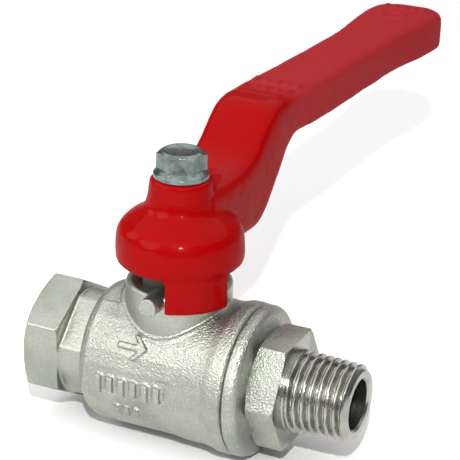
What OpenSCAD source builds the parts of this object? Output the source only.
// Quarter-turn lever ball valve with a female inlet and a male outlet.
// Origin: centre of the inlet mouth on the pipe axis.
// +X runs along the pipe to the outlet, +Z up the stem. The lever is closed, along +Y.

/* [Pipe line] */
// Inlet mouth to the stem axis
inlet_len = 23.9; // [23.4:0.1:25]
// Stem axis to the outlet tip
outlet_len = 31.9; // [31:0.1:33]
// Radius of the female thread's minor diameter
inlet_thread_r = 5.72; // [5.5:0.01:5.8]
// Depth of the female thread
inlet_thread_depth = 11; // [9.5:0.1:11.5]
// Radius of the male thread at its gauge plane
outlet_thread_r = 6.58; // [6.4:0.01:6.7]
// Radius of the waterway
waterway_r = 4.08; // [3.6:0.01:4.1]

/* [Body] */
// Radius of the barrel
barrel_r = 11.74; // [11.6:0.01:11.8]
// Radius of the collar at the body joint
collar_r = 12.6; // [12.3:0.05:12.9]
// Stem axis to the body joint
joint_x = 13.45; // [13.3:0.05:13.6]
// Across flats of the inlet hexagon
inlet_hex_af = 18.6; // [18:0.1:19]
// Across flats of the outlet hexagon
outlet_hex_af = 17.3; // [17:0.1:18]
// Twice the distance from the pipe axis to each upper flat of the cast neck
neck_af = 15.2; // [14.6:0.1:15.6]
// Radius of the stem boss
boss_r = 8.7; // [8.6:0.02:8.7]
// Height of the stem boss above the pipe axis
boss_top = 15.2; // [15.2:0.1:15.4]

/* [Ball and seats] */
// Radius of the ball
ball_r = 7.2; // [7.1:0.05:7.3]
// Clearance between the ball and its seats
seat_clearance = 0.05; // [0.02:0.01:0.08]

/* [Stem] */
// Radius of the stem shaft
stem_r = 3.5; // [3.4:0.05:3.6]
// Radial running clearance of the stem
stem_clearance = 0.03; // [0.02:0.01:0.08]
// Thickness of the driving tang
tang_t = 2.2; // [2:0.1:2.3]
// Across the two driving flats
stem_flats = 5.4; // [5.2:0.1:5.6]

/* [Lever] */
// Stem axis to the far end of the lever
lever_reach = 105; // [98:1:115]
// Width of the arm
arm_w = 12.2; // [11.6:0.1:12.6]
// Width of the rounded grip end
grip_w = 14.4; // [13.6:0.1:15]
// Height of the lever's clamping face above the pipe axis
hub_top = 32.5; // [32.2:0.1:32.8]
// Height of the skirt's lower edge
skirt_z = 18.4; // [18.2:0.1:18.6]
// Height of the stop tabs' lower edge
tab_z = 12.8; // [12.8:0.1:13.2]
// Travel of the lever in degrees
travel = 90; // [85:1:90]

/* [Fasteners] */
// Across flats of the handle bolt's head
bolt_af = 7; // [6.8:0.1:7.2]
// Height of the handle bolt's head with its flange
bolt_head_h = 4.3; // [4:0.1:4.6]
// Across flats of the gland nut
gland_af = 12; // [11.4:0.1:12.4]

/* [Hidden] */
$fn = 64;

// Corner radius of a hexagon from its across flats
function corner_r(af) = af / 2 / cos(30);
// Points on an arc about c with radius r, from angle a0 to a1 in n steps
function arc(c, r, a0, a1, n = 6) =
    [for (i = [0:n]) let (a = a0 + (a1 - a0) * i / n) c + r * [cos(a), sin(a)]];

over = 1;                                 // how far a cutter runs past a face
// Inlet end
hex_end_x = -17.4;                        // back face of the inlet hexagon
hex_chamfer = 0.8;                        // depth of the turned chamfers
neck_r = 9;
neck_end_x = -11.7;                       // inside the barrel
shoulder_r = 2.9;                         // rounding between the neck and the barrel
shoulder_x = -13.3;
// Barrel steps towards the body joint
step_r = barrel_r + 0.22;
step_x = [3.3, 4.9, 8.8, 11];
joint_bevel = 0.5;
// Waterway and pockets
cavity_r = 8.6;
fit_gap = 0.02;                           // between a pocket and the piece seated in it
seat_out_r = 6.95;
seat_in_r = 4.2;
seat_x = [4.9, 7.8];                      // each seat lies between these, on both sides of the stem
spigot_r = 9.2;
spigot_x = 5.7;
joint_groove = [11.9, 12.9];              // groove of the body joint's seal ring
joint_seal_r = 0.5;                       // half the thickness of that ring
// Stem seals, from the ball upwards
collar_z = [7.7, 8.9];
collar_out_r = 4.4;
washer_top = 9.5;
o_ring_r = 0.45;                          // half the thickness of a stem ring
o_ring_z = [10.3, 11.9];
o_ring_mid_r = stem_r - o_ring_r;
groove_h = 1.1;
recess_r = 5.2;                           // recess of the packing and the gland nut
packing_z = [13, 14.4];
gland_top = 18.6;
nut_room = 0.3;                           // clear ring between the gland nut and the stop pins
tang_z = 5;
shoulder_z = 21.8;                        // where the stem's flats begin
stem_top = hub_top - 0.7;
bolt_thread_r = 2;
bolt_end_z = 24;
// Stop pins and tabs
pin_r = 1.55;
pin_z = boss_top - 1.1;
pin_end = 11.3;
tab_in_r = boss_r + 0.3;
tab_out_r = 10.1;
tab_play = 3;                             // degrees between a tab and its pin at each stop
tab_start = asin(pin_r / tab_in_r) + tab_play;
tab_span = 180 - travel - 2 * tab_start;
// Lever
tip_r = grip_w / 2;
tip_y = lever_reach - tip_r;
flare_y = 75;
hub_r = 10.3;
hub_neck_r = 5.3;
hub_cavity_r = 8.2;
hub_cavity_top = 21;
pocket_y = [42, 96];                      // relief under the grip
pocket_w = 7.2;
pocket_roof = 31.4;
slot_w = tang_t + 0.2;
slot_z = tang_z - 0.3;

module at_stem() { translate([inlet_len, 0, 0]) children(); }
module along_x() { rotate([0, 90, 0]) children(); }

// Solid of revolution about the pipe axis from [x, r] points
module turned(points) {
    along_x() rotate_extrude() polygon([for (p = points) [p[1], p[0]]]);
}

// Plain cylinder along the pipe axis between two positions
module bar(r, x0, x1) {
    translate([x0, 0, 0]) along_x() cylinder(h = x1 - x0, r = r);
}

// Plain cylinder along the stem axis between two heights
module post(r, z0, z1) {
    translate([0, 0, z0]) cylinder(h = z1 - z0, r = r);
}

// Hexagonal bar along the pipe axis, its corners turned off at both ends
module hex_bar(af, x0, x1, turn, chamfer) {
    big = corner_r(af);
    intersection() {
        translate([x0, 0, 0]) along_x() rotate(turn) cylinder(h = x1 - x0, r = big, $fn = 6);
        turned([[x0, 0], [x0, af / 2], [x0 + chamfer, big], [x1 - chamfer, big], [x1, af / 2], [x1, 0]]);
    }
}

// Round neck with two flats that lean out at 45 degrees above the pipe axis
module neck() {
    length = neck_end_x - hex_end_x + over;
    intersection() {
        bar(neck_r, hex_end_x - over, neck_end_x);
        translate([hex_end_x - over, 0, 0]) union() {
            along_x() cylinder(h = length, r = neck_af / 2 / cos(45), $fn = 4);
            translate([0, -neck_r, -neck_r]) cube([length, 2 * neck_r, neck_r]);
        }
    }
}

module barrel_outside() {
    turned(concat(
        [[shoulder_x, 0]],
        arc([shoulder_x + shoulder_r, barrel_r - shoulder_r], shoulder_r, 180, 90),
        [[step_x[0], barrel_r], [step_x[1], step_r], [step_x[2], step_r], [step_x[3], collar_r]],
        [[joint_x - joint_bevel, collar_r], [joint_x, collar_r - joint_bevel], [joint_x, 0]]
    ));
}

module stem_boss() {
    bevel = 0.6;
    post(boss_r, 0, boss_top - bevel);
    translate([0, 0, boss_top - bevel]) cylinder(h = bevel, r1 = boss_r, r2 = boss_r - bevel);
    translate([0, pin_end, pin_z]) rotate([90, 0, 0]) cylinder(h = 2 * pin_end, r = pin_r);
}

module body() {
    color("silver") at_stem() difference() {
        union() {
            hex_bar(inlet_hex_af, -inlet_len, hex_end_x, 0, hex_chamfer);
            neck();
            barrel_outside();
            stem_boss();
        }
        bar(inlet_thread_r, -inlet_len - over, inlet_thread_depth - inlet_len);
        bar(waterway_r, -inlet_len, 0);
        bar(seat_out_r + fit_gap, -seat_x[1], 0);
        bar(cavity_r, -seat_x[0], joint_x);
        bar(spigot_r + fit_gap, spigot_x - 0.1, joint_x + over);
        post(collar_out_r + stem_clearance, 0, washer_top);
        post(stem_r + stem_clearance, 0, boss_top);
        post(recess_r + fit_gap, packing_z[0], boss_top + over);
        post(corner_r(gland_af) + nut_room, boss_top, boss_top + 2 * pin_r);
    }
}

module end_connector() {
    flange_end = 15.9;
    hex_x = [16.4, 21.3];
    waist_r = 8.3;
    tip_bevel = 0.8;
    color("silver") at_stem() difference() {
        union() {
            bar(spigot_r, spigot_x, joint_x);
            turned([[joint_x, 0], [joint_x, collar_r - joint_bevel], [joint_x + joint_bevel, collar_r - 0.1],
                    [flange_end - 1, collar_r - 0.1], [flange_end, collar_r - 1.4], [flange_end, 0]]);
            bar(waist_r, joint_x, hex_x[1]);
            hex_bar(outlet_hex_af, hex_x[0], hex_x[1], 30, 0.5);
            bar(outlet_thread_r, hex_x[0], outlet_len - tip_bevel);
            turned([[outlet_len - tip_bevel, 0], [outlet_len - tip_bevel, outlet_thread_r],
                    [outlet_len, outlet_thread_r - tip_bevel], [outlet_len, 0]]);
        }
        bar(waterway_r, 0, outlet_len + over);
        bar(seat_out_r + fit_gap, 0, seat_x[1]);
        difference() {
            bar(spigot_r + over, joint_groove[0], joint_groove[1]);
            bar(spigot_r - 2 * joint_seal_r, joint_groove[0], joint_groove[1]);
        }
    }
}

module body_joint_seal() {
    color("dimgray") at_stem() translate([(joint_groove[0] + joint_groove[1]) / 2, 0, 0]) along_x()
        rotate_extrude() translate([spigot_r - joint_seal_r, 0]) circle(r = joint_seal_r);
}

// Ring seat on the outlet side, its mouth cut to the ball
module seat() {
    difference() {
        bar(seat_out_r, seat_x[0], seat_x[1]);
        bar(seat_in_r, 0, seat_x[1] + over);
        sphere(r = ball_r + seat_clearance);
    }
}

module inlet_seat() {
    color("white") at_stem() mirror([1, 0, 0]) seat();
}

module outlet_seat() {
    color("white") at_stem() seat();
}

module ball() {
    color("gainsboro") at_stem() difference() {
        sphere(r = ball_r);
        rotate([90, 0, 0]) cylinder(h = 2 * ball_r + over, r = waterway_r - 0.08, center = true);
        translate([-ball_r, -slot_w / 2, slot_z]) cube([2 * ball_r, slot_w, ball_r]);
    }
}

// Shaft cut down to two flats that face +X and -X
module two_flats(r, across, z0, z1) {
    intersection() {
        post(r, z0, z1);
        translate([-across / 2, -r, z0]) cube([across, 2 * r, z1 - z0]);
    }
}

module stem() {
    color("goldenrod") at_stem() difference() {
        union() {
            intersection() {
                post(stem_r, tang_z, collar_z[0]);
                translate([-stem_r, -tang_t / 2, tang_z]) cube([2 * stem_r, tang_t, collar_z[1] - tang_z]);
            }
            post(collar_out_r, collar_z[0], collar_z[1]);
            post(stem_r, collar_z[0], shoulder_z);
            two_flats(stem_r, stem_flats, shoulder_z - 0.1, stem_top);
        }
        for (z = o_ring_z) difference() {
            post(stem_r + over, z - groove_h / 2, z + groove_h / 2);
            post(stem_r - 2 * o_ring_r, z - groove_h / 2, z + groove_h / 2);
        }
        post(bolt_thread_r + fit_gap, bolt_end_z - over, stem_top + over);
    }
}

// Flat ring on the stem axis
module ring(r_out, r_in, z0, z1) {
    difference() {
        post(r_out, z0, z1);
        post(r_in, z0 - over, z1 + over);
    }
}

module thrust_washer() {
    color("white") at_stem() ring(collar_out_r, stem_r + stem_clearance, collar_z[1] + fit_gap, washer_top);
}

module stem_o_ring(z) {
    color("black") at_stem() translate([0, 0, z])
        rotate_extrude() translate([o_ring_mid_r, 0]) circle(r = o_ring_r);
}

module stem_o_ring_lower() { stem_o_ring(o_ring_z[0]); }
module stem_o_ring_upper() { stem_o_ring(o_ring_z[1]); }

module packing_ring() {
    color("white") at_stem() ring(recess_r, stem_r + stem_clearance, packing_z[0], packing_z[1]);
}

module gland_nut() {
    color("silver") at_stem() difference() {
        union() {
            post(recess_r, packing_z[1], boss_top);
            translate([0, 0, boss_top])
                cylinder(h = gland_top - boss_top, r = corner_r(gland_af), $fn = 6);
        }
        post(stem_r + stem_clearance, packing_z[1] - over, gland_top + over);
    }
}

// Side view of the arm as [y, z] points, from under the hub round the tip and back
arm_side = concat(
    [[0, skirt_z + 0.5], [16, skirt_z + 0.5], [18.4, 19.5], [20.5, 21], [24, 24.8], [28, 29.1]],
    [[30.5, 30.5], [34, 30.6], [41.6, 29.9], [60, 29.2], [80, 28.5], [lever_reach - 3, 27.4]],
    [[lever_reach + over, 28.2], [lever_reach + over, 34.4], [94, 35.5], [72, 36.2], [50, 37]],
    [[33, 37.8], [26.5, 38.4], [23, 37.7], [19.5, 35.4], [16, 32.6], [11, 31], [0, 30.6]]
);

module arm_outline() {
    translate([-arm_w / 2, 0]) square([arm_w, tip_y]);
    polygon([[-arm_w / 2, flare_y], [arm_w / 2, flare_y], [tip_r, tip_y], [-tip_r, tip_y]]);
    translate([0, tip_y]) circle(r = tip_r);
}

module arm() {
    intersection() {
        translate([-tip_r, 0, 0]) rotate([90, 0, 90]) linear_extrude(2 * tip_r) polygon(arm_side);
        linear_extrude(hub_top * 2) arm_outline();
    }
}

// Hollow underneath the grip, open downwards
module arm_pocket() {
    translate([-pocket_w / 2, pocket_y[0], skirt_z])
        cube([pocket_w, pocket_y[1] - pocket_y[0], pocket_roof - skirt_z]);
}

module hub_outside() {
    rotate_extrude() polygon(concat(
        [[0, skirt_z], [hub_r - 0.7, skirt_z], [hub_r - 0.15, skirt_z + 0.6], [hub_r, skirt_z + 1.4]],
        [[hub_r, 21], [hub_r - 0.3, 23.2], [hub_r - 0.9, 24.5], [hub_neck_r + 2.4, 25.8]],
        [[hub_neck_r + 1.2, 26.6], [hub_neck_r + 0.4, 27.6], [hub_neck_r, 29]],
        arc([hub_neck_r - 0.6, hub_top - 0.6], 0.6, 0, 90, 3),
        [[0, hub_top]]
    ));
}

// Wedge of the stop tab's sweep, measured from -Y towards +X
module tab_wedge(z0, z1) {
    far = 2 * hub_r;
    ends = [for (a = [tab_start, tab_start + tab_span / 2, tab_start + tab_span]) a - 90];
    translate([0, 0, z0]) linear_extrude(z1 - z0)
        polygon(concat([[0, 0]], [for (a = ends) far * [cos(a), sin(a)]]));
}

module stop_tabs() {
    for (turn = [0, 180]) rotate(turn) intersection() {
        ring(tab_out_r, tab_in_r, tab_z, skirt_z + 2);
        tab_wedge(tab_z, skirt_z + 2);
    }
}

module lever() {
    color("firebrick") at_stem() {
        difference() {
            union() {
                hub_outside();
                arm();
            }
            post(hub_cavity_r, skirt_z - over, hub_cavity_top);
            two_flats(stem_r + stem_clearance, stem_flats + 2 * fit_gap, hub_cavity_top - over, hub_top + over);
            post(stem_r + stem_clearance, hub_cavity_top - over, shoulder_z + fit_gap);
            arm_pocket();
        }
        stop_tabs();
    }
}

module handle_bolt() {
    flange_r = 4.5;
    flange_h = 0.7;
    head_r = corner_r(bolt_af);
    chamfer = 0.5;
    color("lightgray") at_stem() {
        post(flange_r, hub_top, hub_top + flange_h);
        translate([0, 0, hub_top]) intersection() {
            rotate(30) cylinder(h = bolt_head_h, r = head_r, $fn = 6);
            union() {
                cylinder(h = bolt_head_h - chamfer, r = head_r);
                translate([0, 0, bolt_head_h - chamfer])
                    cylinder(h = chamfer, r1 = head_r, r2 = bolt_af / 2);
            }
        }
        post(bolt_thread_r, bolt_end_z, hub_top);
    }
}

body();
end_connector();
body_joint_seal();
inlet_seat();
outlet_seat();
ball();
stem();
thrust_washer();
stem_o_ring_lower();
stem_o_ring_upper();
packing_ring();
gland_nut();
lever();
handle_bolt();
